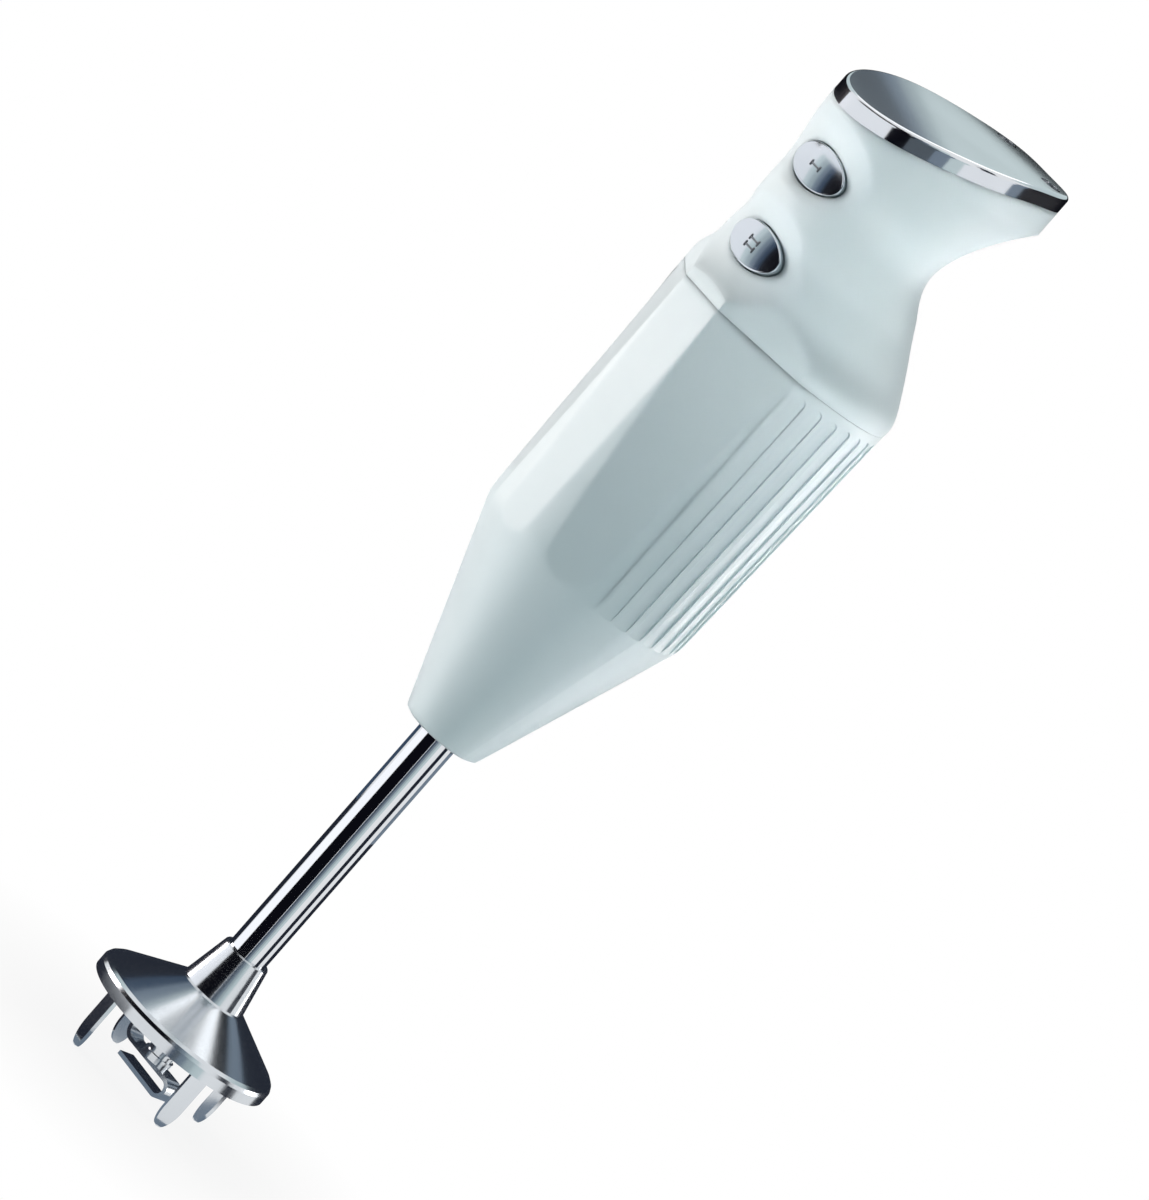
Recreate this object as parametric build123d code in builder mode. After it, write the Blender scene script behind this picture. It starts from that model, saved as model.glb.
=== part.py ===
"""Immersion blender: faceted motor housing, waisted handle, bright shaft tube, four-prong guard and strip blade.

Millimetres, +Z up the shaft axis, the prong tips stand on z = 0, the buttons face -Y and the nose points to +Y.
"""
import os
from math import cos, radians, sin

from build123d import *

os.makedirs("parts", exist_ok=True)

# heights along the shaft axis
GUARD_LIP_Z = 18.6
GUARD_CROWN_Z = 32.5
COLLAR_TOP_Z = 47.0
HOUSING_Z = 126.5
BOSS_TOP_Z = 138.0
TUBE_TOP_Z = 146.0
SHOULDER_Z = 185.6
SEAM_Z = 264.0
NOSE_Z = 329.4
HANDLE_H = NOSE_Z - SEAM_Z

# radii and walls of the two shells
TUBE_R = 6.0
TUBE_WALL = 1.0
SHAFT_R = 3.0
RUNNING_GAP = 0.04
FOOT_R = 12.6
BOSS_R = 9.5
SEAM_R = 35.9
SHOULDER_R = SEAM_R - 2.9
SHOULDER_ROUND = 16.0
CAVITY_R = SEAM_R - 5.5
CAVITY_LOW_Z = SHOULDER_Z + 1.4
SEAM_GAP = 0.08
SEAL_DEPTH = 1.2
SEAL_R = SEAM_R - 3.7
SEAL_WALL = 2.8
SEAL_PLAY = 0.1
FRONT_WALL = 5.4
LOW_WALL = 4.2
HIGH_WALL = 2.6

# flats of the grip: distance from the axis at the seam and at the shoulder
FLAT_BITE = 0.55
FRONT_FLAT_TOP = SEAM_R - 1.35
FRONT_FLAT_LOW = SHOULDER_R - FLAT_BITE
SIDE_FLAT_TOP = SEAM_R - 3.0
SIDE_FLAT_LOW = SHOULDER_R - FLAT_BITE
SIDE_FLAT_TURN = 37.2
FLAT_CUT = 12.0

# flutes of the grip
FLUTE_COUNT = 26
FLUTE_FIRST = 57.0
FLUTE_WIDTH = 4.0
FLUTE_DEPTH = 0.6
FLUTE_TOP_Z = SEAM_Z - 2.6
FLUTE_LENGTH = FLUTE_TOP_Z - HOUSING_Z

# top cap: outline and the arch of its underside
CAP_HALF_WIDTH = SEAM_R - 11.4
CAP_FRONT = -(SEAM_R + 3.6)
CAP_MID = -5.6
CAP_REAR = SEAM_R - 1.5
CAP_BLUNT = 5.0
CAP_TAPER = 0.345
CAP_THICK = 4.9
CAP_EDGE = 1.3
CAP_Z = NOSE_Z + 4.3
CAP_SLOPE = 0.173
CAP_ARCH = 0.00182
SCREW_X = 11.5
SCREW_Y = CAP_REAR - 10.0
SCREW_R = 1.5
SCREW_HEAD_R = 2.7
SCREW_SINK = 1.6
SCREW_LENGTH = 8.5

# length by which cuts and blanks reach past the shell
SPARE = 20.0

# buttons
BUTTON_TWO_Z = SEAM_Z + 0.275 * HANDLE_H
BUTTON_ONE_Z = SEAM_Z + 0.673 * HANDLE_H
BUTTON_HALF_W = 11.0
BUTTON_HALF_H = 5.9
BUTTON_GAP = 0.35
BUTTON_DEPTH = 10.2
BUTTON_POCKET = 5.0
BUTTON_DOME_R = 34.0
FACE_TWO_Y = -(SEAM_R - 3.1)
FACE_ONE_Y = -(SEAM_R - 2.0)
FLANGE = 1.2
PLUNGER_R = 1.2
PLUNGER_REACH = 2.4
SPRING_R = 2.8
SPRING_WIRE = 0.8
SWITCH_FACE_Y = FACE_ONE_Y + 13.9
SWITCH_BACK_Y = SWITCH_FACE_Y + 6.0

# scoops round the buttons: height, centre of the turn, its least radius and the round of its wall
SCOOPS = [(BUTTON_TWO_Z, 13.3, SEAM_R + 7.9, 25.0), (BUTTON_ONE_Z, 6.4, SEAM_R + 2.9, 20.0)]

# motor
BRACKET_Z = 163.0
BRACKET_TOP_Z = 190.0
STATOR_TOP_Z = 222.0
FRAME_TOP_Z = 250.0
FRAME_R = CAVITY_R - 0.2
FRAME_WALL = 3.7
BEARING_R = 8.0
BEARING_H = 5.0
COIL_OUT_R = FRAME_R - 6.7
COIL_IN_R = COIL_OUT_R - 7.5
COIL_H = 8.0
ARMATURE_R = COIL_IN_R - 2.2
AIR_GAP = 0.7
WINDING_R = ARMATURE_R - 1.3
COMMUTATOR_R = ARMATURE_R - 4.8
FAN_Z = BRACKET_Z + BEARING_H + 4.0
FAN_R = 18.0
FAN_HUB_R = 6.0
FAN_PLATE = 1.2
COUPLING_Z = 150.0
COUPLING_H = 10.0
BUSH_H = 11.0
SHAFT_SEAL_H = 3.5

# guard, prongs and blade
GUARD_R = 29.0
GUARD_RIM_Z = GUARD_LIP_Z + 4.9
GUARD_NECK_R = TUBE_R + 4.4
GUARD_NECK_Z = GUARD_CROWN_Z + 0.2
GUARD_SEAT_R = TUBE_R + 2.2
PRONG_INSET = 5.7
PRONG_R = GUARD_R - PRONG_INSET
PRONG_TOP_Z = GUARD_RIM_Z + 1.1
PRONG_THICK = 1.2
PRONG_LEAN = 0.6
PRONG_WIDTH = 5.6
PRONG_TURN = -13.0
HUB_R = 4.0
HUB_BEAD = 0.6
HUB_SOCKET = 4.0
HUB_TOP_Z = 24.0
HUB_LOW_Z = 8.4
BLADE_TURN = 11.0
BLADE_THICK = 1.2
BLADE_WIDTH = 6.4

# cord gland
GLAND_Z = NOSE_Z + 3.9
GLAND_R = 3.0
GLAND_BORE_R = 2.4
GLAND_LEN = 8.0


def export(builder, label):
    builder.part.label = label
    export_step(builder.part, f"parts/{label}.step")


def egg(half_width, front, mid, rear, blunt=2.0, taper=0.0):
    """Points round a section: an ellipse in front of mid, a tapering blunt end behind it."""
    points = []
    for step in range(24):
        turn = radians(15 * step)
        side = -1 if step > 12 else 1
        across = abs(sin(turn)) if step % 12 else 0.0
        along = cos(turn)
        if along >= 0:
            points.append((side * half_width * across, mid - (mid - front) * along))
        else:
            reach = abs(along) ** (2 / blunt)
            width = half_width * across ** (2 / blunt) * (1 - taper * reach)
            points.append((side * width, mid + (rear - mid) * reach))
    return points


CAP_SECTION = (CAP_HALF_WIDTH, CAP_FRONT, CAP_MID, CAP_REAR, CAP_BLUNT, CAP_TAPER)

# handle sections: share of the height, how far half width and front lie in from the seam's radius, middle,
# how far the rear lies in, bluntness, taper
WAIST = [
    (0.054, 0.0, 0.0, 0.0, 0.0, 2.0, 0.0),
    (0.099, 1.0, 1.0, 0.0, 1.0, 2.0, 0.0),
    (0.148, 2.7, 2.8, 0.0, 2.6, 2.0, 0.0),
    (0.229, 4.6, 3.3, -1.3, 5.9, 2.0, 0.0),
    (0.309, 6.4, 3.3, -3.1, 9.5, 2.0, 0.0),
    (0.390, 8.0, 2.9, -5.1, 13.1, 2.0, 0.0),
    (0.469, 9.3, 1.8, -7.5, 16.8, 2.0, 0.0),
    (0.550, 10.7, 1.3, -9.4, 20.1, 2.0, 0.0),
    (0.627, 11.1, 1.2, -9.9, 21.1, 2.0, 0.0),
    (0.708, 10.7, 0.5, -9.8, 19.9, 2.05, 0.0),
    (0.789, 10.7, -1.4, -8.3, 16.7, 2.3, 0.06),
    (0.868, 11.1, -3.0, -6.8, 12.3, 2.9, 0.15),
    (0.940, 11.4, -3.6, -6.0, 6.9, 3.8, 0.25),
]
HANDLE_SECTIONS = [(SEAM_Z + SEAM_GAP, SEAM_R, -SEAM_R, 0.0, SEAM_R, 2.0, 0.0)]
for share, side_in, front_in, mid, rear_in, blunt, taper in WAIST:
    outline = (SEAM_R - side_in, front_in - SEAM_R, mid, SEAM_R - rear_in, blunt, taper)
    HANDLE_SECTIONS.append((SEAM_Z + share * HANDLE_H, *outline))
HANDLE_SECTIONS.append((NOSE_Z, *CAP_SECTION))


def flats():
    """The front plane and the two side planes of the grip, facing outwards."""
    rise = SEAM_Z - SHOULDER_Z
    lean_front = (FRONT_FLAT_TOP - FRONT_FLAT_LOW) / rise
    lean_side = (SIDE_FLAT_TOP - SIDE_FLAT_LOW) / rise
    planes = [Plane((0, -FRONT_FLAT_TOP, SEAM_Z), x_dir=(1, 0, 0), z_dir=(0, -1, -lean_front))]
    for side in (-1, 1):
        nx = side * sin(radians(SIDE_FLAT_TURN))
        ny = -cos(radians(SIDE_FLAT_TURN))
        origin = (nx * SIDE_FLAT_TOP, ny * SIDE_FLAT_TOP, SEAM_Z)
        planes.append(Plane(origin, x_dir=(-ny, nx, 0), z_dir=(nx, ny, -lean_side)))
    return planes


# lower shell: drafted round body with a cone, three flats in front and flutes round the back
with BuildPart() as motor_housing:
    with BuildSketch(Plane.XZ) as housing_profile:
        with BuildLine():
            Polyline(
                (TUBE_R, HOUSING_Z),
                (FOOT_R - 1.9, HOUSING_Z),
                (FOOT_R - 0.6, HOUSING_Z + 0.6),
                (FOOT_R, HOUSING_Z + 2.0),
                (SHOULDER_R, SHOULDER_Z),
                (SEAM_R, SEAM_Z),
                (SEAL_R, SEAM_Z),
                (SEAL_R, SEAM_Z - SEAL_DEPTH),
                (CAVITY_R, SEAM_Z - SEAL_DEPTH),
                (CAVITY_R, CAVITY_LOW_Z),
                (BOSS_R, BOSS_TOP_Z - 1.0),
                (BOSS_R, BOSS_TOP_Z),
                (TUBE_R, BOSS_TOP_Z),
                close=True,
            )
        make_face()
        corner = housing_profile.vertices().sort_by_distance((SHOULDER_R, SHOULDER_Z))[0]
        fillet(corner, SHOULDER_ROUND)
    revolve(axis=Axis.Z)
    for plane in flats():
        with BuildSketch(plane):
            Rectangle(2 * SEAM_R, 2 * (SEAM_Z - HOUSING_Z))
        extrude(amount=FLAT_CUT, mode=Mode.SUBTRACT)
    lean = (SEAM_R - SHOULDER_R) / (SEAM_Z - SHOULDER_Z)
    flute_turn = (360 - 2 * FLUTE_FIRST) / (FLUTE_COUNT - 1)
    for number in range(FLUTE_COUNT):
        turn = radians(FLUTE_FIRST + flute_turn * number - 90)
        top_r = SHOULDER_R + lean * (FLUTE_TOP_Z - SHOULDER_Z) - FLUTE_DEPTH
        origin = (top_r * cos(turn), top_r * sin(turn), FLUTE_TOP_Z)
        normal = (cos(turn), sin(turn), -lean)
        with BuildSketch(Plane(origin, x_dir=(-sin(turn), cos(turn), 0), z_dir=normal)):
            with Locations((0, -(FLUTE_LENGTH + FLUTE_WIDTH) / 2)):
                Rectangle(FLUTE_WIDTH, FLUTE_LENGTH)
            with Locations((0, -FLUTE_WIDTH / 2)):
                Circle(FLUTE_WIDTH / 2)
        extrude(amount=FLUTE_WIDTH, mode=Mode.SUBTRACT)
export(motor_housing, "motor_housing")


def arch(y):
    """Height of the cap's underside at y."""
    return CAP_Z + CAP_SLOPE * y - CAP_ARCH * y * y


def arch_face(lift, rise):
    """Side view of the space from the cap's underside, raised by lift, over or under it by rise."""
    reach = 48.0
    with BuildSketch(Plane.YZ) as side_view:
        with BuildLine():
            rim = ThreePointArc(*[(y, arch(y) + lift) for y in (-reach, 0, reach)])
            Polyline(rim @ 1, (reach, CAP_Z + rise), (-reach, CAP_Z + rise), rim @ 0)
        make_face()
    return side_view.sketch


def section(height, outline):
    """One cross-section of the handle as a face."""
    with BuildSketch(Plane.XY.offset(height)) as face:
        with BuildLine():
            Spline(*egg(*outline), periodic=True)
        make_face()
    return face.sketch


SCREW_SPOTS = [(-SCREW_X, SCREW_Y), (SCREW_X, SCREW_Y)]

# hollow of the handle
with BuildPart() as hollow:
    walls = []
    for height, half_width, front, mid, rear, blunt, taper in HANDLE_SECTIONS[:1] + HANDLE_SECTIONS[3::2]:
        wall = LOW_WALL if height < (BUTTON_ONE_Z + BUTTON_TWO_Z) / 2 else HIGH_WALL
        walls.append(section(height, (half_width - wall, front + FRONT_WALL, mid, rear - wall, blunt, taper)))
    loft(walls)
    mouth = (CAP_HALF_WIDTH - HIGH_WALL, CAP_FRONT + FRONT_WALL, CAP_MID, CAP_REAR - HIGH_WALL, CAP_BLUNT, CAP_TAPER)
    extrude(section(NOSE_Z, mouth), amount=SPARE)

# two posts for the cap screws and the wall round the cord gland
with BuildPart() as posts:
    with BuildSketch(Plane.XY.offset(NOSE_Z - 3)):
        with Locations(*SCREW_SPOTS):
            Circle(SCREW_HEAD_R + 0.7)
    extrude(amount=SPARE)
    with BuildSketch(Plane.XZ.offset(-CAP_REAR + 1.0)):
        with Locations((0, GLAND_Z)):
            Rectangle(3 * GLAND_R, 3 * GLAND_R)
    extrude(amount=GLAND_LEN - 1.0)

# upper shell: lofted from the round seam through the waist to the cap's outline, hollow, open at both ends
with BuildPart() as handle_shell:
    loft([section(height, outline) for height, *outline in HANDLE_SECTIONS])
    extrude(section(NOSE_Z, CAP_SECTION), amount=SPARE)
    for plane in flats():
        with BuildSketch(plane):
            Rectangle(2 * SEAM_R, HANDLE_H / 2)
        extrude(amount=FLAT_CUT, mode=Mode.SUBTRACT)
    # soft scoops round the two buttons
    for button_z, centre_y, scoop_r, round_r in SCOOPS:
        with Locations((0, centre_y, button_z)):
            Torus(scoop_r + round_r, round_r, mode=Mode.SUBTRACT)
    add(hollow.part, mode=Mode.SUBTRACT)
    add(posts.part)
    with BuildSketch(Plane.XZ.offset(-CAP_REAR - 5)):
        with Locations((0, GLAND_Z)):
            Circle(GLAND_R)
    extrude(amount=GLAND_LEN + 7, mode=Mode.SUBTRACT)
    with BuildSketch(Plane.XY.offset(NOSE_Z)):
        with Locations(*SCREW_SPOTS):
            Circle(SCREW_R)
    extrude(amount=SPARE, mode=Mode.SUBTRACT)
    # openings for the two buttons
    with BuildSketch(Plane.XZ.offset(-SWITCH_FACE_Y)):
        with Locations((0, BUTTON_TWO_Z), (0, BUTTON_ONE_Z)):
            Ellipse(BUTTON_HALF_W + BUTTON_GAP, BUTTON_HALF_H + BUTTON_GAP)
    extrude(amount=SEAM_R, mode=Mode.SUBTRACT)
    # trim the top to the arch the cap lies on
    extrude(arch_face(0, 2 * SPARE), amount=SEAM_R, both=True, mode=Mode.SUBTRACT)
export(handle_shell, "handle_shell")

with BuildPart() as seam_seal:
    with BuildSketch(Plane.XY.offset(SEAM_Z - SEAL_DEPTH)):
        Circle(SEAL_R - SEAL_PLAY)
        Circle(SEAL_R - SEAL_WALL, mode=Mode.SUBTRACT)
    extrude(amount=SEAL_DEPTH + SEAM_GAP)
export(seam_seal, "seam_seal")

SCREW_SEAT_Z = arch(SCREW_Y) + CAP_THICK - SCREW_SINK

# bright plate on top: the handle's outline between two arches, with screw recesses
with BuildPart() as top_cap:
    extrude(section(NOSE_Z - SPARE, CAP_SECTION), amount=3 * SPARE)
    extrude(arch_face(0, -2 * SPARE), amount=SEAM_R, both=True, mode=Mode.SUBTRACT)
    extrude(arch_face(CAP_THICK, 3 * SPARE), amount=SEAM_R, both=True, mode=Mode.SUBTRACT)
    fillet(top_cap.edges().group_by(Axis.Z)[-1], CAP_EDGE)
    with BuildSketch(Plane.XY.offset(SCREW_SEAT_Z)):
        with Locations(*SCREW_SPOTS):
            Circle(SCREW_HEAD_R + 0.4)
    extrude(amount=SPARE, mode=Mode.SUBTRACT)
    with BuildSketch(Plane.XY.offset(NOSE_Z)):
        with Locations(*SCREW_SPOTS):
            Circle(SCREW_R)
    extrude(amount=SPARE, mode=Mode.SUBTRACT)
export(top_cap, "top_cap")

# two cross-slotted screws that hold the cap
with BuildPart() as cap_screws:
    with BuildSketch(Plane.XY.offset(SCREW_SEAT_Z)):
        with Locations(*SCREW_SPOTS):
            Circle(SCREW_HEAD_R)
    extrude(amount=1.1)
    with BuildSketch(Plane.XY.offset(SCREW_SEAT_Z)):
        with Locations(*SCREW_SPOTS):
            Circle(SCREW_R)
    extrude(amount=-SCREW_LENGTH)
    with BuildSketch(Plane.XY.offset(SCREW_SEAT_Z + 0.5)):
        with Locations(*SCREW_SPOTS):
            Rectangle(3.4, 0.7)
            Rectangle(0.7, 3.4)
    extrude(amount=2, mode=Mode.SUBTRACT)
export(cap_screws, "cap_screws")

with BuildPart() as cord_gland:
    with BuildSketch(Plane.XZ.offset(-CAP_REAR + 0.05)):
        with Locations((0, GLAND_Z)):
            Circle(GLAND_R)
            Circle(GLAND_BORE_R, mode=Mode.SUBTRACT)
    extrude(amount=GLAND_LEN - 0.05)
export(cord_gland, "cord_gland")


def speed_button(face_y, height):
    """Oval domed key with a retaining flange and a spring pocket in its back."""
    with BuildPart() as key:
        with BuildSketch(Plane.XZ.offset(-face_y)):
            with Locations((0, height)):
                Ellipse(BUTTON_HALF_W, BUTTON_HALF_H)
        extrude(amount=-BUTTON_DEPTH)
        with Locations((0, face_y + BUTTON_DOME_R, height)):
            Sphere(BUTTON_DOME_R, mode=Mode.INTERSECT)
        fillet(key.edges().group_by(Axis.Y)[0], 0.5)
        back = face_y + BUTTON_DEPTH
        with BuildSketch(Plane.XZ.offset(-back)):
            with Locations((0, height)):
                Ellipse(BUTTON_HALF_W + FLANGE, BUTTON_HALF_H + FLANGE)
        extrude(amount=1.0)
        with BuildSketch(Plane.XZ.offset(-back)):
            with Locations((0, height)):
                Circle(SPRING_R + 0.4)
        extrude(amount=BUTTON_POCKET, mode=Mode.SUBTRACT)
    return key


def plunger(face_y, height):
    """Pin from the button's pocket into its switch."""
    with BuildPart() as pin:
        with BuildSketch(Plane.XZ.offset(-(face_y + BUTTON_DEPTH - BUTTON_POCKET))):
            with Locations((0, height)):
                Circle(PLUNGER_R)
        extrude(amount=-(SWITCH_FACE_Y + PLUNGER_REACH - face_y - BUTTON_DEPTH + BUTTON_POCKET))
    return pin


def button_spring(face_y, height):
    """Return spring between the button's pocket and the switch."""
    with BuildPart() as coil:
        with BuildSketch(Plane.XZ.offset(-(face_y + BUTTON_DEPTH - BUTTON_POCKET))):
            with Locations((0, height)):
                Circle(SPRING_R)
                Circle(SPRING_R - SPRING_WIRE, mode=Mode.SUBTRACT)
        extrude(amount=-(SWITCH_FACE_Y - face_y - BUTTON_DEPTH + BUTTON_POCKET))
    return coil


def speed_switch(height):
    """Switch body with a bore for its plunger."""
    with BuildPart() as block:
        with Locations((0, (SWITCH_FACE_Y + SWITCH_BACK_Y) / 2, height)):
            Box(18, SWITCH_BACK_Y - SWITCH_FACE_Y, 10)
        with BuildSketch(Plane.XZ.offset(-SWITCH_FACE_Y)):
            with Locations((0, height)):
                Circle(PLUNGER_R + RUNNING_GAP)
        extrude(amount=-(PLUNGER_REACH + 2.2), mode=Mode.SUBTRACT)
    return block


export(speed_button(FACE_ONE_Y, BUTTON_ONE_Z), "speed_button_one")
export(speed_button(FACE_TWO_Y, BUTTON_TWO_Z), "speed_button_two")
export(plunger(FACE_ONE_Y, BUTTON_ONE_Z), "switch_plunger_one")
export(plunger(FACE_TWO_Y, BUTTON_TWO_Z), "switch_plunger_two")
export(button_spring(FACE_ONE_Y, BUTTON_ONE_Z), "button_spring_one")
export(button_spring(FACE_TWO_Y, BUTTON_TWO_Z), "button_spring_two")
export(speed_switch(BUTTON_ONE_Z), "speed_switch_one")
export(speed_switch(BUTTON_TWO_Z), "speed_switch_two")

# plate that stands on the motor frame and carries both switches
with BuildPart() as switch_carrier:
    carrier_top = BUTTON_ONE_Z + 8
    with Locations((0, SWITCH_BACK_Y + 1.0, (FRAME_TOP_Z + carrier_top) / 2)):
        Box(24, 2.0, carrier_top - FRAME_TOP_Z)
export(switch_carrier, "switch_carrier")

with BuildPart() as circuit_board:
    with Locations((0, -2.0, FRAME_TOP_Z + 22)):
        Box(30, 1.6, 44)
export(circuit_board, "circuit_board")

with BuildPart() as suppression_capacitor:
    with Locations((0, 3.3, FRAME_TOP_Z + 20)):
        Box(18, 9.0, 14)
export(suppression_capacitor, "suppression_capacitor")

# shaft tube and what it carries
with BuildPart() as shaft_tube:
    with BuildSketch(Plane.XY.offset(GUARD_CROWN_Z)):
        Circle(TUBE_R)
        Circle(TUBE_R - TUBE_WALL, mode=Mode.SUBTRACT)
    extrude(amount=TUBE_TOP_Z - GUARD_CROWN_Z)
export(shaft_tube, "shaft_tube")

with BuildPart() as tube_nut:
    with BuildSketch(Plane.XY.offset(BOSS_TOP_Z)):
        RegularPolygon(9.2, 6)
        Circle(TUBE_R, mode=Mode.SUBTRACT)
    extrude(amount=5.0)
export(tube_nut, "tube_nut")


def ring(inner, outer, low, high):
    """Plain ring about the shaft axis."""
    with BuildPart() as hoop:
        with BuildSketch(Plane.XY.offset(low)):
            Circle(outer)
            Circle(inner, mode=Mode.SUBTRACT)
        extrude(amount=high - low)
    return hoop


SHAFT_BORE = SHAFT_R + RUNNING_GAP
export(ring(SHAFT_BORE, TUBE_R - TUBE_WALL, GUARD_CROWN_Z, GUARD_CROWN_Z + BUSH_H), "bush_lower")
export(ring(SHAFT_BORE, TUBE_R - TUBE_WALL, TUBE_TOP_Z - BUSH_H, TUBE_TOP_Z), "bush_upper")
export(ring(SHAFT_BORE, TUBE_R - TUBE_WALL, GUARD_CROWN_Z - SHAFT_SEAL_H, GUARD_CROWN_Z), "shaft_seal")
export(ring(SHAFT_R, BEARING_R - 0.5, COUPLING_Z, COUPLING_Z + COUPLING_H), "drive_coupling")
export(ring(SHAFT_BORE, BEARING_R, BRACKET_Z, BRACKET_Z + BEARING_H), "bearing_lower")
export(ring(SHAFT_BORE, BEARING_R, FRAME_TOP_Z - BEARING_H, FRAME_TOP_Z), "bearing_upper")
export(ring(COIL_IN_R, COIL_OUT_R, BRACKET_TOP_Z - COIL_H, BRACKET_TOP_Z), "field_coil_lower")
export(ring(COIL_IN_R, COIL_OUT_R, STATOR_TOP_Z, STATOR_TOP_Z + COIL_H), "field_coil_upper")
export(ring(SHAFT_R, WINDING_R, BRACKET_TOP_Z - 6, BRACKET_TOP_Z + 2), "armature_winding_lower")
export(ring(SHAFT_R, WINDING_R, STATOR_TOP_Z - 2, STATOR_TOP_Z + 6), "armature_winding_upper")
export(ring(SHAFT_R, COMMUTATOR_R, STATOR_TOP_Z + COIL_H, STATOR_TOP_Z + COIL_H + 12), "commutator")

with BuildPart() as drive_shaft:
    with BuildSketch(Plane.XY.offset(HUB_LOW_Z + HUB_SOCKET)):
        Circle(SHAFT_R)
    extrude(amount=COUPLING_Z + COUPLING_H / 2 - HUB_LOW_Z - HUB_SOCKET)
export(drive_shaft, "drive_shaft")

with BuildPart() as motor_shaft:
    with BuildSketch(Plane.XY.offset(COUPLING_Z + COUPLING_H / 2)):
        Circle(SHAFT_R)
    extrude(amount=FRAME_TOP_Z - 0.3 - COUPLING_Z - COUPLING_H / 2)
export(motor_shaft, "motor_shaft")

def cavity_r(height):
    """Inner radius of the housing's cone at a height."""
    rise = (height - BOSS_TOP_Z + 1.0) / (CAVITY_LOW_Z - BOSS_TOP_Z + 1.0)
    return BOSS_R + (CAVITY_R - BOSS_R) * rise


# lower bracket: conical cup that seats in the housing's cone and carries the stator
with BuildPart() as motor_bracket_lower:
    with BuildSketch(Plane.XZ):
        with BuildLine():
            Polyline(
                (BEARING_R, BRACKET_Z),
                (cavity_r(BRACKET_Z) - 0.27, BRACKET_Z),
                (FRAME_R - 0.2, CAVITY_LOW_Z),
                (FRAME_R - 0.2, BRACKET_TOP_Z),
                (FRAME_R - 0.5 - FRAME_WALL, BRACKET_TOP_Z),
                (FRAME_R - 0.5 - FRAME_WALL, CAVITY_LOW_Z - 0.5),
                (cavity_r(BRACKET_Z) - 2.2, BRACKET_Z + BEARING_H),
                (BEARING_R, BRACKET_Z + BEARING_H),
                close=True,
            )
        make_face()
    revolve(axis=Axis.Z)
export(motor_bracket_lower, "motor_bracket_lower")

# upper frame: inverted cup over the brush gear
with BuildPart() as motor_bracket_upper:
    with BuildSketch(Plane.XZ):
        with BuildLine():
            Polyline(
                (FRAME_R - FRAME_WALL, STATOR_TOP_Z),
                (FRAME_R, STATOR_TOP_Z),
                (FRAME_R, FRAME_TOP_Z),
                (BEARING_R, FRAME_TOP_Z),
                (BEARING_R, FRAME_TOP_Z - BEARING_H),
                (FRAME_R - FRAME_WALL, FRAME_TOP_Z - BEARING_H),
                close=True,
            )
        make_face()
    revolve(axis=Axis.Z)
export(motor_bracket_upper, "motor_bracket_upper")

with BuildPart() as stator_stack:
    with BuildSketch(Plane.XY.offset(BRACKET_TOP_Z)):
        Circle(FRAME_R - 0.3)
        Circle(ARMATURE_R + AIR_GAP, mode=Mode.SUBTRACT)
    extrude(amount=STATOR_TOP_Z - BRACKET_TOP_Z)
export(stator_stack, "stator_stack")

# slotted armature core
with BuildPart() as armature_core:
    with BuildSketch(Plane.XY.offset(BRACKET_TOP_Z + 2)):
        Circle(ARMATURE_R)
        Circle(SHAFT_R, mode=Mode.SUBTRACT)
        with PolarLocations(ARMATURE_R - 1.6, 12):
            Rectangle(4.0, 2.2, mode=Mode.SUBTRACT)
    extrude(amount=STATOR_TOP_Z - BRACKET_TOP_Z - 4)
export(armature_core, "armature_core")

with BuildPart() as cooling_fan:
    with BuildSketch(Plane.XY.offset(FAN_Z)):
        Circle(FAN_R)
        Circle(SHAFT_R, mode=Mode.SUBTRACT)
    extrude(amount=FAN_PLATE)
    with BuildSketch(Plane.XY.offset(FAN_Z + FAN_PLATE)):
        Circle(FAN_HUB_R)
        Circle(SHAFT_R, mode=Mode.SUBTRACT)
        with PolarLocations((FAN_R + FAN_HUB_R) / 2, 8):
            Rectangle(FAN_R - FAN_HUB_R + 0.2, FAN_PLATE)
    extrude(amount=6.0)
export(cooling_fan, "cooling_fan")


def brush_gear(side):
    """A carbon brush and its holder on one side of the commutator."""
    level = STATOR_TOP_Z + COIL_H + 6
    near = COMMUTATOR_R + 0.06
    frame_wall = FRAME_R - FRAME_WALL - 0.4
    brush_end = near + 10.94
    holder_near = near + 1.94
    with BuildPart() as brush:
        with Locations((side * (near + brush_end) / 2, 0, level)):
            Box(brush_end - near, 5, 5)
    with BuildPart() as holder:
        with Locations((side * (holder_near + frame_wall) / 2, 0, level)):
            Box(frame_wall - holder_near, 8, 8)
        with Locations((side * (near + brush_end + 1.94) / 2, 0, level)):
            Box(brush_end + 1.94 - near, 5, 5, mode=Mode.SUBTRACT)
    return brush, holder


for side, word in ((-1, "left"), (1, "right")):
    carbon, box = brush_gear(side)
    export(carbon, f"brush_{word}")
    export(box, f"brush_holder_{word}")

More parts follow.
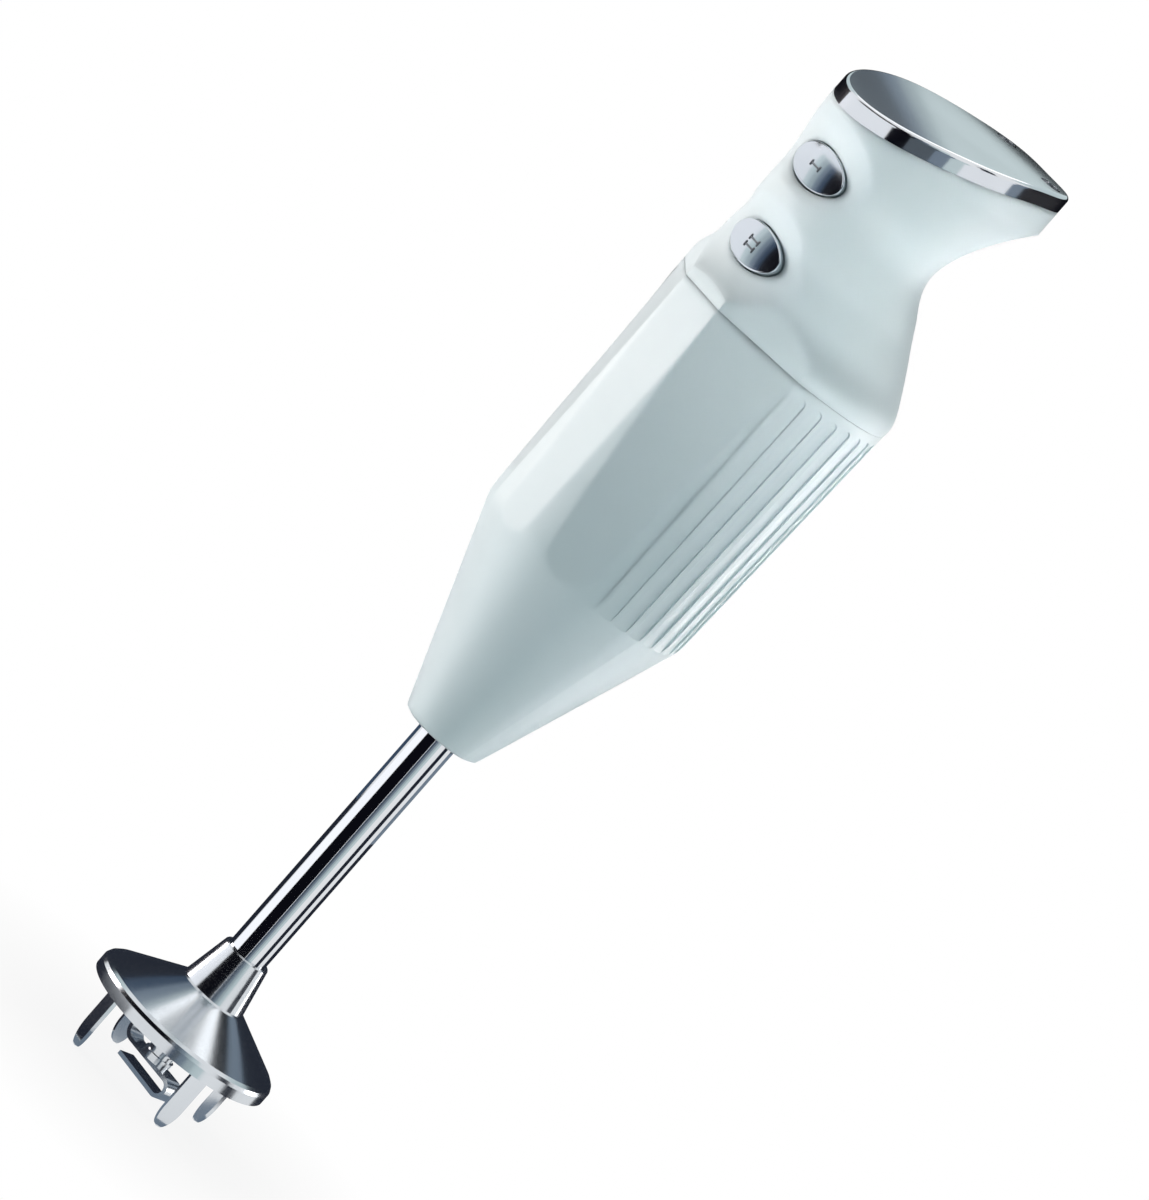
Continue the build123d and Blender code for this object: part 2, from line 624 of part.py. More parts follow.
# one prong: a leaf-ended strip that leans in a little at its foot
with BuildPart() as prong:
    with BuildSketch(Plane.XZ):
        with BuildLine():
            outer = Line((PRONG_R, PRONG_TOP_Z), (PRONG_R, 8.0))
            toe = ThreePointArc(outer @ 1, (PRONG_R - PRONG_LEAN / 4, 4.0), (PRONG_R - PRONG_LEAN, 0.0))
            sole = Line(toe @ 1, toe @ 1 - (PRONG_THICK, 0.0))
            inner = PRONG_R - PRONG_THICK
            heel = ThreePointArc(sole @ 1, (inner - PRONG_LEAN / 4, 4.0), (inner, 8.0))
            Polyline(heel @ 1, (inner, PRONG_TOP_Z), outer @ 0)
        make_face()
    extrude(amount=PRONG_WIDTH / 2, both=True)
    with BuildSketch(Plane.YZ):
        with Locations((0, PRONG_TOP_Z)):
            Rectangle(PRONG_WIDTH, 2 * (PRONG_TOP_Z - 6.4))
        with Locations((0, 6.4)):
            Ellipse(PRONG_WIDTH / 2, 6.6)
    extrude(amount=PRONG_R + SHAFT_R, mode=Mode.INTERSECT)

# bell guard: collar, dome and rim lip turned in one piece, with four prongs
with BuildPart() as blade_guard:
    with BuildSketch(Plane.XZ):
        with BuildLine():
            Polyline(
                (TUBE_R, COLLAR_TOP_Z),
                (TUBE_R + 0.9, COLLAR_TOP_Z),
                (TUBE_R + 1.2, COLLAR_TOP_Z - 0.4),
                (GUARD_NECK_R - 0.5, GUARD_NECK_Z + 0.5),
                (GUARD_NECK_R, GUARD_NECK_Z),
                (GUARD_R - 1.5, GUARD_RIM_Z),
                (GUARD_R - 0.5, GUARD_RIM_Z - 0.8),
                (GUARD_R, GUARD_RIM_Z - 1.8),
                (GUARD_R, GUARD_LIP_Z),
                (GUARD_R - 1.1, GUARD_LIP_Z),
                (GUARD_R - 1.1, GUARD_RIM_Z - 2.6),
                (GUARD_R - 2.4, GUARD_RIM_Z - 1.5),
                (GUARD_NECK_R, GUARD_NECK_Z - 2.1),
                (GUARD_SEAT_R, GUARD_NECK_Z - 2.1),
                (GUARD_SEAT_R, GUARD_CROWN_Z - SHAFT_SEAL_H),
                (TUBE_R - TUBE_WALL, GUARD_CROWN_Z - SHAFT_SEAL_H),
                (TUBE_R - TUBE_WALL, GUARD_CROWN_Z),
                (TUBE_R, GUARD_CROWN_Z),
                close=True,
            )
        make_face()
    revolve(axis=Axis.Z)
    with Locations(*[Rotation(0, 0, PRONG_TURN + 90 * number) for number in range(4)]):
        add(prong.part)
export(blade_guard, "blade_guard")

# hub with two turned beads, bored for the drive shaft
with BuildPart() as blade_hub:
    with BuildSketch(Plane.XY.offset(HUB_LOW_Z)):
        Circle(HUB_R)
    extrude(amount=HUB_TOP_Z - HUB_LOW_Z)
    for bead_z in (HUB_LOW_Z, HUB_LOW_Z + 3.6):
        with BuildSketch(Plane.XY.offset(bead_z)):
            Circle(HUB_R + HUB_BEAD)
        extrude(amount=2.0)
    with BuildSketch(Plane.XY.offset(HUB_LOW_Z + HUB_SOCKET)):
        Circle(SHAFT_R + RUNNING_GAP)
    extrude(amount=HUB_TOP_Z, mode=Mode.SUBTRACT)
export(blade_hub, "blade_hub")

# folded strip: middle plate under the hub, one end turned down and back, the other turned up
with BuildPart() as cutting_blade:
    turned = Plane.XZ.rotated((0, 0, BLADE_TURN))
    plate_z = HUB_LOW_Z - BLADE_THICK / 2
    with BuildSketch(turned):
        with BuildLine() as strip:
            lower = Line((-8.5, 3.0), (8.4, 2.6))
            bend = ThreePointArc(lower @ 1, (10.9, 5.2), (8.4, plate_z))
            middle = Line(bend @ 1, (-8.4, plate_z))
            ThreePointArc(middle @ 1, (-11.2, plate_z + 2.4), (-9.6, plate_z + 5.6))
        trace(line_width=BLADE_THICK)
    extrude(amount=BLADE_WIDTH / 2, both=True)
export(cutting_blade, "cutting_blade")
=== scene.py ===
# %% [markdown]
# # An immersion blender, dressed for its picture
# The solids come ready made, at their real size, as a fixed frame: each sub-part is a Blender object that
# already sits in place and moves with its own body. A picture could be made by modelling it all again here,
# but then two models would drift apart. So the shapes stay with the solids, and this script gives them
# their finishes, the small marks on the keys, a studio and a camera. The box of the bare solids is kept
# first.

# %% Load the frame
from math import cos, radians, sin

import bmesh
import bpy
from mathutils import Matrix, Vector


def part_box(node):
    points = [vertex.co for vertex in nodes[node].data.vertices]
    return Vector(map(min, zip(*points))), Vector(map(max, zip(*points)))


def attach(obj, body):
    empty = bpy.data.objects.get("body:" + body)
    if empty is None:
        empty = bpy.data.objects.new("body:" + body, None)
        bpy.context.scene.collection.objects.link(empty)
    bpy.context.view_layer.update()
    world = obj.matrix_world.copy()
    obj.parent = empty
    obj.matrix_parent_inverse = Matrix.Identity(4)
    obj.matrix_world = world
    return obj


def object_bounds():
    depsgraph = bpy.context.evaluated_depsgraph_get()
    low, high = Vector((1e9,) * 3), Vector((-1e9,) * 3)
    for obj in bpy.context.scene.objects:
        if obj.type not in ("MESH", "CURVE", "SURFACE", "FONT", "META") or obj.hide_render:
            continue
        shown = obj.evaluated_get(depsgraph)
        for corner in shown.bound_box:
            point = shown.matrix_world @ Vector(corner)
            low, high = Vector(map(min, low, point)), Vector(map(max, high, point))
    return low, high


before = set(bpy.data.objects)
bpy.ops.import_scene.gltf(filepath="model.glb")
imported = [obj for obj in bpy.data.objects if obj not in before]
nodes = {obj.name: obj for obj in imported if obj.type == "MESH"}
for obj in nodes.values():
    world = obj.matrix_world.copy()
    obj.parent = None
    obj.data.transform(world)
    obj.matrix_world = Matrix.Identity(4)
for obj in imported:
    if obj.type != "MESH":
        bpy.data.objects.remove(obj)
cad_low, cad_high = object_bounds()
scene = bpy.context.scene
spans = [round(1000 * (high - low), 1) for low, high in zip(cad_low, cad_high)]
print("solids:", len(nodes), "box in mm:", spans)

# %% [markdown]
# ## The camera
# The blender floats slanted in the picture, with its keys towards the lower left. Tilting the object would
# take it out of its frame, so the camera is rolled instead: it looks from 45 degrees beside the keys, a
# little from above, from nearly two metres away, where the perspective is mild. The lens shift then slides
# the picture so that the blender stands where it should in the frame.

# %% Camera
VIEW_TURN = 45.0
VIEW_RISE = 9.5
VIEW_REACH = 1.9
VIEW_ROLL = 41.23
AIM = Vector((0, 0, 0.17007))
LENS = 215.7
LENS_SHIFT = (0.02256, 0.01017)

camera = bpy.data.objects.new("camera", bpy.data.cameras.new("camera"))
scene.collection.objects.link(camera)
scene.camera = camera
level = cos(radians(VIEW_RISE))
turn = radians(VIEW_TURN)
away = Vector((level * sin(turn), -level * cos(turn), sin(radians(VIEW_RISE))))
upright = away.to_track_quat("Z", "Y").to_matrix().to_4x4()
roll = Matrix.Rotation(radians(VIEW_ROLL), 4, "Z")
camera.matrix_world = Matrix.Translation(AIM + VIEW_REACH * away) @ upright @ roll
camera.data.sensor_width = 36
camera.data.lens = LENS
camera.data.shift_x, camera.data.shift_y = LENS_SHIFT
print("camera at", [round(c, 3) for c in camera.matrix_world.translation])

# %% [markdown]
# ## Shader sums in Python
# A finish is a small sum: grain times strength plus a base value, and so on. Adding each Math node by hand
# hides that sum, so one class holds a node's output socket and turns Python's operators into Math nodes.
# One method, `node`, makes any other node from its type, its settings and what goes into its sockets. A
# socket is named as Blender names it, with _ for a space, or by its number after a _.

# %% Finish class
class Wire:
    """An output socket; sums of wires and numbers become Math nodes."""

    def __init__(self, tree, socket=None):
        self.tree = tree
        self.socket = socket

    def node(self, kind, settings=None, take=0, **inputs):
        made = self.tree.nodes.new("ShaderNode" + kind)
        for name, value in (settings or {}).items():
            setattr(made, name, value)
        for name, value in inputs.items():
            key = int(name[1:]) if name[0] == "_" else name.replace("_", " ")
            if isinstance(value, Wire):
                self.tree.links.new(value.socket, made.inputs[key])
            else:
                made.inputs[key].default_value = value
        return Wire(self.tree, made.outputs[take])

    def sum(self, operation, a, b):
        return self.node("Math", {"operation": operation}, _0=a, _1=b)

    def __add__(self, other):
        return self.sum("ADD", self, other)

    def __radd__(self, other):
        return self.sum("ADD", other, self)

    def __mul__(self, other):
        return self.sum("MULTIPLY", self, other)

    def __rmul__(self, other):
        return self.sum("MULTIPLY", other, self)

    def __gt__(self, other):
        return self.sum("GREATER_THAN", self, other)

    def blend(self, low, high):
        """A colour that goes from low to high as this value goes from 0 to 1."""
        return self.node("Mix", {"data_type": "RGBA"}, take=2, _0=self, _6=low, _7=high)

    def span(self, low, high):
        """This value stretched so that low gives 0 and high gives 1, with no more outside."""
        return self.node("MapRange", {"clamp": True}, _0=self, _1=low, _2=high)


def finish_tree(name):
    """A new material: its wires, its Principled shader and the material itself."""
    material = bpy.data.materials.new(name)
    material.use_nodes = True
    return Wire(material.node_tree), material.node_tree.nodes["Principled BSDF"], material


def join(wire, shader, socket):
    wire.tree.links.new(wire.socket, shader.inputs[socket])


GRAIN_SPAN = (0.3, 0.7)


def grain_of(wires, size, stretch=(1, 1, 1), detail=3.0):
    """Noise in the object's own metres; size is the length of one grain, stretch draws it out."""
    place = wires.node("TexCoord", take=3)
    scale = tuple(1 / (size * s) for s in stretch)
    spread = wires.node("Mapping", _0=place, _3=scale)
    return wires.node("TexNoise", Vector=spread, Scale=1.0, Detail=detail, Roughness=0.55)


def tint(red, green, blue):
    """A colour written as it looks on a screen, 0 to 255, as the linear values Blender wants."""
    channels = []
    for value in (red, green, blue):
        share = value / 255
        channels.append(share / 12.92 if share <= 0.04045 else ((share + 0.055) / 1.055) ** 2.4)
    return (*channels, 1.0)


def dress(material, *names):
    """Give each named solid this finish in all its slots."""
    for name in names:
        slots = nodes[name].data.materials
        slots.clear()
        slots.append(material)
    print(material.name, "on", len(names), "solids")


# %% [markdown]
# ## Moulded plastic
# The motor housing is moulded in a cool silver white with a smooth skin. A plain white Principled shader
# looks like paper; moulded parts also have a faint orange-peel ripple and a breath of unevenness in colour.
# The handle is the same plastic with a softer, satin skin. Its edges are rounded in the mould. Bevelling
# the solids would change their shape, so a Bevel node eases the shading instead: widely where the real
# edges are soft, and hardly at all where they are crisp.

# %% Housing and handle plastic
CLOUD_SIZE = 0.030
PEEL_SIZE = 0.0012
PEEL_HEIGHT = 0.0002
CLOUD_BLUR = 0.06
PEEL_BLUR = 0.02


def moulded_plastic(name, pale, deep, roughness, gleam, ripple, edges, axis, change):
    """Edges are eased by the first width below change along the axis, and by the second above it."""
    wires, shader, material = finish_tree(name)
    cloud = grain_of(wires, CLOUD_SIZE)
    fine = grain_of(wires, PEEL_SIZE, detail=2.0)
    join(cloud.span(*GRAIN_SPAN).blend(deep, pale), shader, "Base Color")
    join(roughness + CLOUD_BLUR * cloud + PEEL_BLUR * fine, shader, "Roughness")
    shader.inputs["Specular IOR Level"].default_value = gleam
    near, far = [wires.node("Bevel", {"samples": 6}, Radius=edge) for edge in edges]
    along = wires.node("SeparateXYZ", take="XYZ".index(axis), _0=wires.node("TexCoord", take=3))
    eased = wires.node("Mix", {"data_type": "VECTOR"}, take=1, _0=along.span(*change), _4=near, _5=far)
    bump = wires.node("Bump", Strength=ripple, Distance=PEEL_HEIGHT, Height=fine, Normal=eased)
    join(bump, shader, "Normal")
    return material


PALE = tint(206, 219, 222)
DEEP = tint(202, 216, 219)
CRISP = 0.0002
# the housing's front flats have soft edges, its flutes crisp ones
gloss_white = moulded_plastic("gloss_white", PALE, DEEP, roughness=0.32, gleam=0.7, ripple=0.01,
                              edges=(0.0030, CRISP), axis="Y", change=(-0.016, -0.008))
# the handle is crisp at the seam and soft above it
satin_white = moulded_plastic("satin_white", PALE, DEEP, roughness=0.42, gleam=0.5, ripple=0.02,
                              edges=(CRISP, 0.0034), axis="Z", change=(0.2645, 0.2685))
dress(gloss_white, "motor_housing")
dress(satin_white, "handle_shell")

# %% [markdown]
# ## Metals
# Four metals show: the mirror-bright tube, the cap with a brushed top, the smooth keys, and the stamped
# steel of guard and blade. Each is a metallic shader whose roughness carries the marks of how it was made:
# drawn along the tube, brushed across the cap, turned round the guard. Stretched noise gives such marks
# anywhere, without having to unwrap the solids.

# %% Metals
PATCH_SIZE = 0.025
PATCH_SPAN = (0.25, 0.75)
PATCH_SHADE = 0.9
DENT_HEIGHT = 0.0001
UPWARD = (0.8, 0.95)


def worked_metal(name, colour, roughness, streak, streak_size, stretch, dent, brushed=0.0):
    """A metal with marks drawn out along stretch; brushed roughens what faces up."""
    wires, shader, material = finish_tree(name)
    marks = grain_of(wires, streak_size, stretch)
    patches = grain_of(wires, PATCH_SIZE, detail=1.0)
    dark = tuple(PATCH_SHADE * channel for channel in colour[:3]) + (1.0,)
    join(patches.span(*PATCH_SPAN).blend(dark, colour), shader, "Base Color")
    facing = wires.node("SeparateXYZ", take=2, _0=wires.node("TexCoord", take=1))
    join(roughness + streak * marks + brushed * facing.span(*UPWARD), shader, "Roughness")
    shader.inputs["Metallic"].default_value = 1.0
    bump = wires.node("Bump", Strength=dent, Distance=DENT_HEIGHT, Height=marks)
    join(bump, shader, "Normal")
    return material


bright_chrome = worked_metal("bright_chrome", tint(226, 229, 233), 0.04, 0.05, 0.0004, (1, 1, 60), 0.004)
cap_chrome = worked_metal("cap_chrome", tint(226, 229, 233), 0.07, 0.05, 0.0004, (30, 1, 1), 0.004, 0.05)
button_chrome = worked_metal("button_chrome", tint(218, 224, 230), 0.12, 0.05, 0.0005, (1, 1, 1), 0.02)
bright_steel = worked_metal("bright_steel", tint(216, 221, 226), 0.12, 0.10, 0.0005, (1, 1, 8), 0.03)
plain_steel = worked_metal("plain_steel", tint(150, 153, 158), 0.35, 0.15, 0.001, (1, 1, 6), 0.05)
bronze = worked_metal("bronze", tint(176, 136, 84), 0.35, 0.15, 0.001, (1, 1, 1), 0.05)
lamination_steel = worked_metal("lamination_steel", tint(120, 122, 126), 0.42, 0.2, 0.0007, (40, 40, 1), 0.15)
copper_winding = worked_metal("copper_winding", tint(196, 116, 70), 0.3, 0.2, 0.0007, (12, 12, 1), 0.25)
dress(bright_chrome, "shaft_tube")
dress(cap_chrome, "top_cap")
dress(button_chrome, "speed_button_one", "speed_button_two")
dress(bright_steel, "blade_guard", "blade_hub", "cutting_blade")
dress(plain_steel, "cap_screws", "drive_shaft", "motor_shaft", "bearing_lower", "bearing_upper", "tube_nut",
      "button_spring_one", "button_spring_two")
dress(bronze, "bush_lower", "bush_upper", "brush_holder_left", "brush_holder_right")
dress(lamination_steel, "stator_stack", "armature_core")
dress(copper_winding, "field_coil_lower", "field_coil_upper", "armature_winding_lower",
      "armature_winding_upper", "commutator")

# %% [markdown]
# ## Rubber, dark plastic and the board
# What is left is small or inside: the seal in the seam, the gland, the switches, the coupling, the fan and
# the circuit board. They are seldom seen, but the part can be opened up, so each still gets a finish with
# grain.

# %% Rubber, plastics and board
GRAIN_STRENGTH = 0.15
GRAIN_HEIGHT = 0.0002


def plain_moulding(name, pale, deep, roughness, grain_size):
    """A dull moulding with grain in its colour, roughness and surface."""
    wires, shader, material = finish_tree(name)
    fine = grain_of(wires, grain_size)
    join(fine.span(*GRAIN_SPAN).blend(deep, pale), shader, "Base Color")
    join(roughness + GRAIN_STRENGTH * fine, shader, "Roughness")
    bump = wires.node("Bump", Strength=GRAIN_STRENGTH, Distance=GRAIN_HEIGHT, Height=fine)
    join(bump, shader, "Normal")
    return material


black_rubber = plain_moulding("black_rubber", tint(44, 45, 48), tint(34, 35, 38), 0.6, 0.0008)
black_plastic = plain_moulding("black_plastic", tint(40, 41, 44), tint(32, 33, 36), 0.35, 0.0010)
grey_plastic = plain_moulding("grey_plastic", tint(128, 130, 133), tint(118, 120, 123), 0.42, 0.0010)
board_green = plain_moulding("board_green", tint(44, 96, 62), tint(36, 84, 54), 0.38, 0.0015)
dress(black_rubber, "seam_seal", "cord_gland", "shaft_seal")
dress(black_plastic, "speed_switch_one", "speed_switch_two", "suppression_capacitor", "cooling_fan",
      "drive_coupling", "switch_plunger_one", "switch_plunger_two", "brush_left", "brush_right")
dress(grey_plastic, "switch_carrier", "motor_bracket_lower", "motor_bracket_upper")
dress(board_green, "circuit_board")

# %% [markdown]
# ## Speed marks on the keys
# Each key carries a small raised numeral, lying on its side: one stroke or two, each with a short bar
# across both its ends. Text objects would float flat over the domed key, so each stroke is built row by
# row: every row of points is laid on the dome and its middle is lifted, which gives a soft round back.

# %% Speed marks
DOME_R = 0.034
MARK_LENGTH = 0.0038
MARK_WIDTH = 0.00062
MARK_LIFT = 0.00030
BAR_LENGTH = 0.0017
TWIN_STROKE = 0.0011
FOOT_DEPTH = 0.0002
# where each point of a row stands: share of the half width, share of the lift
ROUND_BACK = ((-0.85, 0.6), (0.0, 1.0), (0.85, 0.6))
END_SHARE = 0.4


def on_dome(key, x, z, lift):
    """A point over the key's domed face; x and z are measured from the middle of the key."""
    low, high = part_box(key)
    middle_z = (low[2] + high[2]) / 2
    drop = DOME_R - (DOME_R**2 - x * x - z * z) ** 0.5
    return Vector((x, low[1] + drop - lift, middle_z + z))


def raised_stroke(mesh, key, start, end, rows=8):
    """A round-backed bar over the dome from start to end, each an (x, z) in metres."""
    start, end = Vector(start), Vector(end)
    side = Vector((-(end - start).y, (end - start).x)).normalized() * MARK_WIDTH / 2
    rings = []
    for row in range(rows + 1):
        centre = start.lerp(end, row / rows)
        height = MARK_LIFT if 0 < row < rows else END_SHARE * MARK_LIFT
        back = [(across, share * height) for across, share in ROUND_BACK]
        ring = []
        for across, lift in [(-1.0, -FOOT_DEPTH), *back, (1.0, -FOOT_DEPTH)]:
            spot = centre + across * side
            ring.append(mesh.verts.new(on_dome(key, spot.x, spot.y, lift)))
        rings.append(ring)
    for near, far in zip(rings, rings[1:]):
        for step in range(len(near) - 1):
            mesh.faces.new((near[step], near[step + 1], far[step + 1], far[step]))
    mesh.faces.new(rings[0])
    mesh.faces.new(reversed(rings[-1]))


def speed_mark(name, key, body, strokes):
    """A numeral on a key; strokes are the heights of its strokes over the key's middle."""
    mesh = bmesh.new()
    half = MARK_LENGTH / 2
    reach = BAR_LENGTH / 2
    for offset in strokes:
        raised_stroke(mesh, key, (-half, offset), (half, offset))
        for end in (-half, half):
            raised_stroke(mesh, key, (end, offset - reach), (end, offset + reach))
    bmesh.ops.recalc_face_normals(mesh, faces=mesh.faces)
    data = bpy.data.meshes.new(name)
    mesh.to_mesh(data)
    mesh.free()
    data.shade_smooth()
    mark = bpy.data.objects.new(name, data)
    scene.collection.objects.link(mark)
    data.materials.append(plain_steel)
    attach(mark, body)
    print(name, len(data.vertices), "points")


speed_mark("mark_one", "speed_button_one", "button_one", (0.0,))
speed_mark("mark_two", "speed_button_two", "button_two", (-TWIN_STROKE, TWIN_STROKE))

# %% [markdown]
# ## The studio
# A white room: a pale floor that takes the shadow under the prongs and turns to clean white farther out,
# and a white world round it. A white world would also light the plastic from all sides and wash out its
# form, so only the camera and mirrors see the white; for every other ray the world is nearly dark.

# %% Floor and world
FLOOR_HALF = 30.0
SHADE_R = (0.02, 0.10)
SHADE_EASE = 0.88
FLOOR_WHITE = (0.9, 0.9, 0.9, 1)
AMBIENT = (0.05, 0.06, 0.06, 1)
PURE_WHITE = (1, 1, 1, 1)


def clean_white(wires):
    """1 for rays from the camera and for mirror and glass rays, else 0."""
    path = wires.tree.nodes.new("ShaderNodeLightPath")
    kinds = ("Is Camera Ray", "Is Glossy Ray", "Is Transmission Ray")
    camera_ray, mirror_ray, glass_ray = [Wire(wires.tree, path.outputs[kind]) for kind in kinds]
    return (camera_ray + mirror_ray + glass_ray) > 0.5


floor_wires, floor_shader, floor_material = finish_tree("studio_floor")
floor_shader.inputs["Base Color"].default_value = FLOOR_WHITE
floor_shader.inputs["Roughness"].default_value = 0.9
floor_place = floor_wires.node("TexCoord", take=3)
floor_reach = floor_wires.node("VectorMath", {"operation": "LENGTH"}, take=1, _0=floor_place)
clean = clean_white(floor_wires) * (SHADE_EASE + (1 - SHADE_EASE) * floor_reach.span(*SHADE_R))
glow = floor_wires.node("Emission", Color=PURE_WHITE, Strength=1.0)
plain = Wire(floor_wires.tree, floor_shader.outputs[0])
floor_mix = floor_wires.node("MixShader", _0=clean, _1=plain, _2=glow)
join(floor_mix, floor_wires.tree.nodes["Material Output"], "Surface")

bpy.ops.mesh.primitive_grid_add(x_subdivisions=4, y_subdivisions=4, size=2 * FLOOR_HALF)
floor = bpy.context.object
floor.name = "floor"
floor.data.materials.append(floor_material)

scene.world = bpy.data.worlds.new("studio_world")
scene.world.use_nodes = True
world = Wire(scene.world.node_tree)
backdrop = scene.world.node_tree.nodes["Background"]
join(clean_white(world).blend(AMBIENT, PURE_WHITE), backdrop, "Color")
print("floor half width in m:", FLOOR_HALF)

# %% [markdown]
# ## Lamps
# One big lamp would light the plastic evenly and show no form. So most of the light comes from softboxes
# far out on both sides, many of them low, which leaves the middle grey and the flanks bright. Two small
# ones with a narrow spread lift the waist and the cone. Only two of them show in shiny finishes, because a
# lamp that is mirrored in the tube or the keys burns out to a white patch.

# %% Lamps
def ring_place(turn, reach, height):
    """A point round the blender: turn is in degrees to the right of the camera."""
    angle = radians(VIEW_TURN - 90 + turn)
    return Vector((reach * cos(angle), reach * sin(angle), height))


def softbox(name, turn, reach, height, size, power, colour, aim=AIM, spread=180, mirrored=False):
    """An area lamp; only a mirrored one shows in glossy finishes."""
    lamp = bpy.data.lights.new(name, "AREA")
    lamp.shape = "RECTANGLE"
    lamp.size, lamp.size_y = size
    lamp.energy = power
    lamp.color = colour
    lamp.spread = radians(spread)
    holder = bpy.data.objects.new(name, lamp)
    holder.location = ring_place(turn, reach, height)
    holder.rotation_euler = (holder.location - aim).to_track_quat("Z", "Y").to_euler()
    holder.visible_camera = False
    holder.visible_glossy = mirrored
    scene.collection.objects.link(holder)
    print(name, "at", [round(c, 2) for c in holder.location], power, "W")


WAIST = Vector((0, 0.005, 0.300))
CONE = Vector((0, 0, 0.175))
WARM = (1.0, 0.86, 0.82)
NEUTRAL = (1.0, 0.95, 0.94)
COOL = (0.82, 0.96, 1.0)
# turn, reach, height, size in metres, then watts and colour
softbox("softbox_left", -104, 1.2, 0.20, (0.45, 0.9), 9.0, WARM, mirrored=True)
softbox("softbox_low_left", -92, 0.9, 0.07, (0.6, 0.12), 6.2, NEUTRAL)
softbox("softbox_right", 105, 1.2, 0.25, (0.4, 0.9), 0.7, COOL)
softbox("softbox_low_right", 100, 0.45, 0.01, (0.4, 0.1), 1.7, NEUTRAL)
softbox("softbox_mirror_right", 120, 1.0, 0.12, (0.25, 0.5), 2.0, NEUTRAL, mirrored=True)
softbox("softbox_low_front", 10, 0.7, 0.02, (0.5, 0.1), 2.6, COOL)
softbox("softbox_waist", 30, 0.6, 0.03, (0.12, 0.12), 0.035, NEUTRAL, aim=WAIST, spread=14)
softbox("softbox_cone", 122, 0.5, 0.02, (0.10, 0.10), 0.035, NEUTRAL, aim=CONE, spread=18)

# %% [markdown]
# ## Cards for the metal
# In a white room a mirror has nothing to show and looks like paper. Photographers stand black and grey
# cards just outside the picture, and each becomes a stripe along the tube. These cards are seen by mirror
# rays only, so they take no light from the plastic. Each is a curved screen round the blender, given by its
# two turns.

# %% Card maker
def studio_card(name, turns, profile, colour, steps=8):
    """A curved screen between two turns, right of the camera; profile is its (distance, height) points."""
    mesh = bmesh.new()
    columns = []
    for step in range(steps + 1):
        turn = turns[0] + (turns[1] - turns[0]) * step / steps
        columns.append([mesh.verts.new(ring_place(turn, reach, height)) for reach, height in profile])
    for left, right in zip(columns, columns[1:]):
        for row in range(len(profile) - 1):
            mesh.faces.new((left[row], right[row], right[row + 1], left[row + 1]))
    data = bpy.data.meshes.new(name)
    mesh.to_mesh(data)
    mesh.free()
    card = bpy.data.objects.new(name, data)
    scene.collection.objects.link(card)
    _, shader, material = finish_tree(name)
    shader.inputs["Base Color"].default_value = (0, 0, 0, 1)
    shader.inputs["Specular IOR Level"].default_value = 0
    shader.inputs["Emission Color"].default_value = (*colour, 1)
    shader.inputs["Emission Strength"].default_value = 1.0
    data.materials.append(material)
    card.visible_camera = False
    card.visible_diffuse = False
    card.visible_shadow = False


def graded_cards(name, profile, greys):
    """Cards side by side; greys are the turn where each starts and its colour, then the last turn."""
    for (start, colour), (end, _) in zip(greys, greys[1:]):
        studio_card(f"{name}_{start}", (start, end), profile, colour)
    print(name, len(greys) - 1, "cards")


# %% [markdown]
# ## Where the cards stand
# The tube shows what stands round it at its own height and on the floor, and the guard shows the floor
# close by. One ring of cards for both would put the tube's stripes on the guard, so each metal piece gets
# its own: far screens for the tube, floor patches for the prongs, and narrow bands close to the cap and the
# keys.

# %% Cards
BLACK = (0.004, 0.004, 0.007)
NAVY = (0.018, 0.022, 0.035)
SLATE = (0.20, 0.25, 0.31)
INK = (0.05, 0.08, 0.13)
SMOKE = (0.10, 0.12, 0.14)
PEWTER = (0.42, 0.50, 0.52)
SILVER = (0.62, 0.72, 0.73)
WHITE = (0.95, 0.97, 1.0)
BRIGHT = (1.25, 1.25, 1.28)
GLARE = (1.6, 1.6, 1.6)
SCREEN = [(0.04, 0.0005), (0.5, 0.0005), (0.5, 0.9)]
FAR_SCREEN = [(0.175, 0.0005)] + SCREEN[1:]

# screens round the whole blender, with a foot on the floor for the tube to show; the black one in front
# keeps its foot away from the guard, whose rim then stays bright
studio_card("card_camera_left", (-54, 2), FAR_SCREEN, BLACK)
FRONT_GREYS = [(4, INK), (9, SMOKE), (14, SLATE), (22, PEWTER), (31, SILVER), (42, WHITE)]
graded_cards("card_front", SCREEN, FRONT_GREYS)
LOW_SCREEN = FAR_SCREEN[:2] + [(0.5, 0.12)]
studio_card("card_tube_bright", (-102, -57), LOW_SCREEN, BRIGHT)
studio_card("card_right", (69, 85), SCREEN, NAVY)
studio_card("card_tube_left", (-142, -108), SCREEN[:2], NAVY)
# floor patches close to the prongs, too near for the tube to show
studio_card("card_prong_left", (-142, -50), [(0.026, 0.0004), (0.115, 0.0004)], NAVY)
# the slate disc right under the guard is a painted shadow: mirror rays see it in place of the floor that the
# guard shades
studio_card("card_under_painted_shade", (0, 360), [(0.0, 0.0003), (0.026, 0.0003)], SLATE, steps=24)
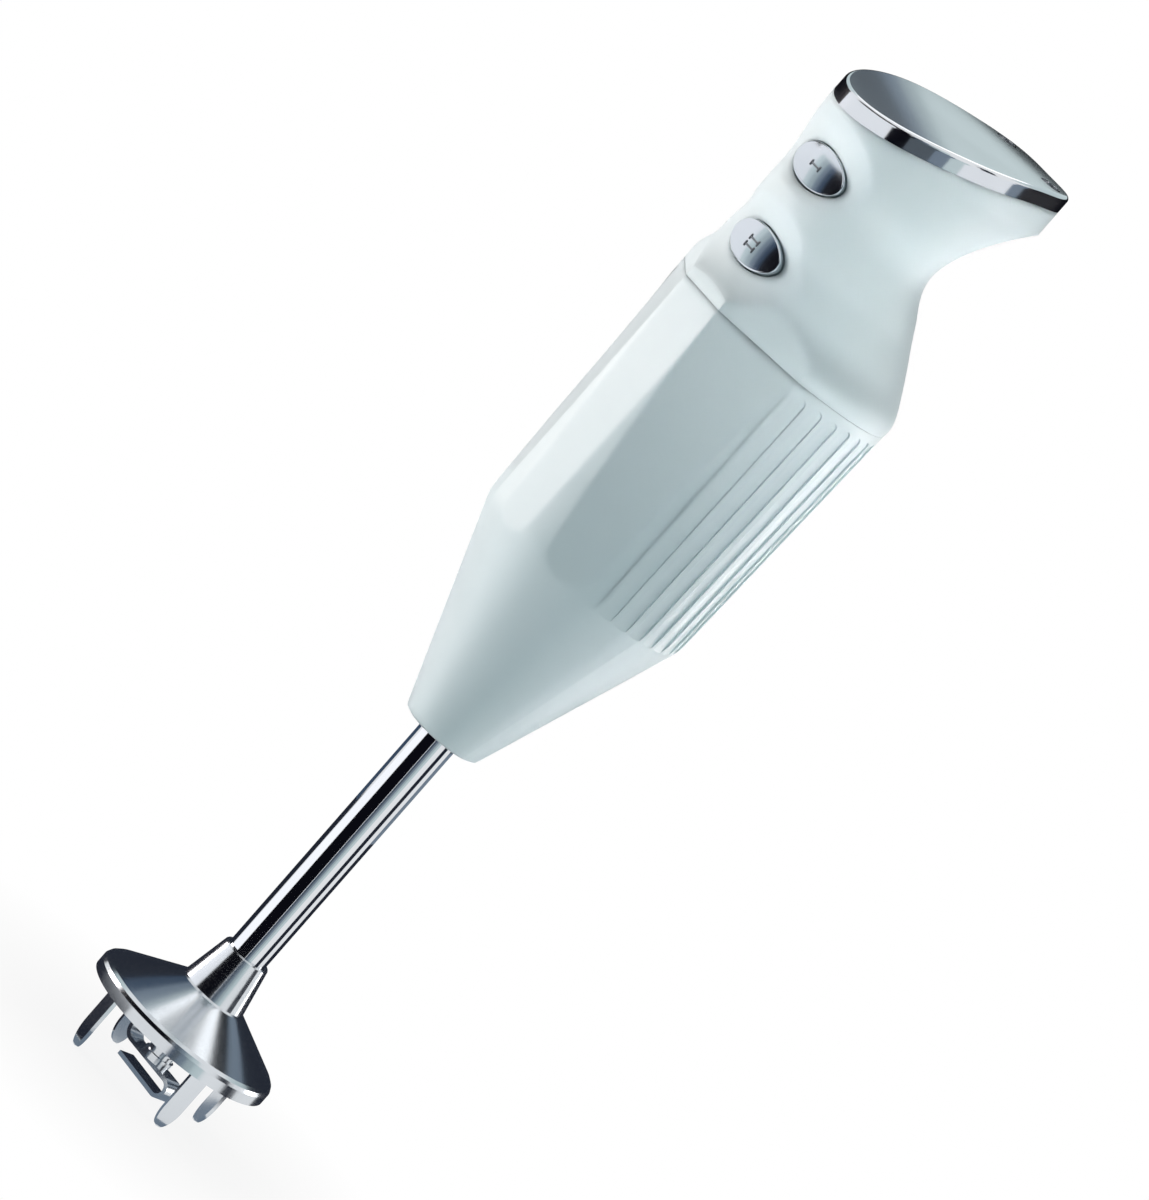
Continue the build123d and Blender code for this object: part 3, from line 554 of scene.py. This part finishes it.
# screens for the keys, the far flat of the housing and the top of the cap
studio_card("card_keys", (-86, -54), [(0.5, 0.12), (0.5, 0.9)], BLACK)
studio_card("card_far_flat", (-180, -140), [(0.5, 0.02), (0.5, 0.28)], NAVY)
studio_card("card_cap", (120, 240), [(0.9, 0.3), (0.9, 1.2)], SILVER)
# a narrow band of greys close round the cap, which its polished wall shows
WALL_BAND = [(0.10, 0.316), (0.10, 0.360)]
WALL_GREYS = [(-180, BLACK), (-89, WHITE), (-15, BLACK), (3, SMOKE), (25, SLATE), (38, SILVER), (50, WHITE),
              (98, SLATE), (108, BLACK), (180, BLACK)]
graded_cards("card_wall", WALL_BAND, WALL_GREYS)
# another close to the keys, which they show from their pale side to their dark one
KEY_BAND = [(0.10, 0.250), (0.10, 0.316)]
KEY_GREYS = [(-140, WHITE), (-79, SILVER), (-73, PEWTER), (-67, SLATE), (-62, INK), (-57, BLACK),
             (-50, BLACK)]
graded_cards("card_key", KEY_BAND, KEY_GREYS)
# a graded screen behind, which the top of the cap shows from its dark front to its pale nose
TOP_BAND = [(0.45, 0.38), (0.45, 0.66)]
TOP_GREYS = [(-188, SILVER), (-174, PEWTER), (-172.5, SLATE), (-171, SMOKE), (-165, SMOKE)]
graded_cards("card_top", TOP_BAND, TOP_GREYS)
# low screens close behind the guard, which its dome shows as dark flanks, and a bright one high up
BEHIND_R = 0.07
BEHIND_LEFT = [(0.0005, NAVY), (0.085, INK), (0.115, SLATE), (0.155, PEWTER), (0.185, None)]
BEHIND_RIGHT = [(0.0005, NAVY), (0.078, SLATE), (0.112, BLACK), (0.165, None)]
for turns, greys in (((-180, -114), BEHIND_LEFT), ((114, 180), BEHIND_RIGHT)):
    for (foot, colour), (head, _) in zip(greys, greys[1:]):
        studio_card(f"card_dome_{turns[0]}_{foot}", turns, [(BEHIND_R, foot), (BEHIND_R, head)], colour)
studio_card("card_dome_light", (140, 220), [(0.3, 0.58), (0.3, 1.2)], GLARE)

# %% [markdown]
# ## Colour view
# Colours are shown through the Standard view transform.

# %% View transform
scene.view_settings.view_transform = "Standard"
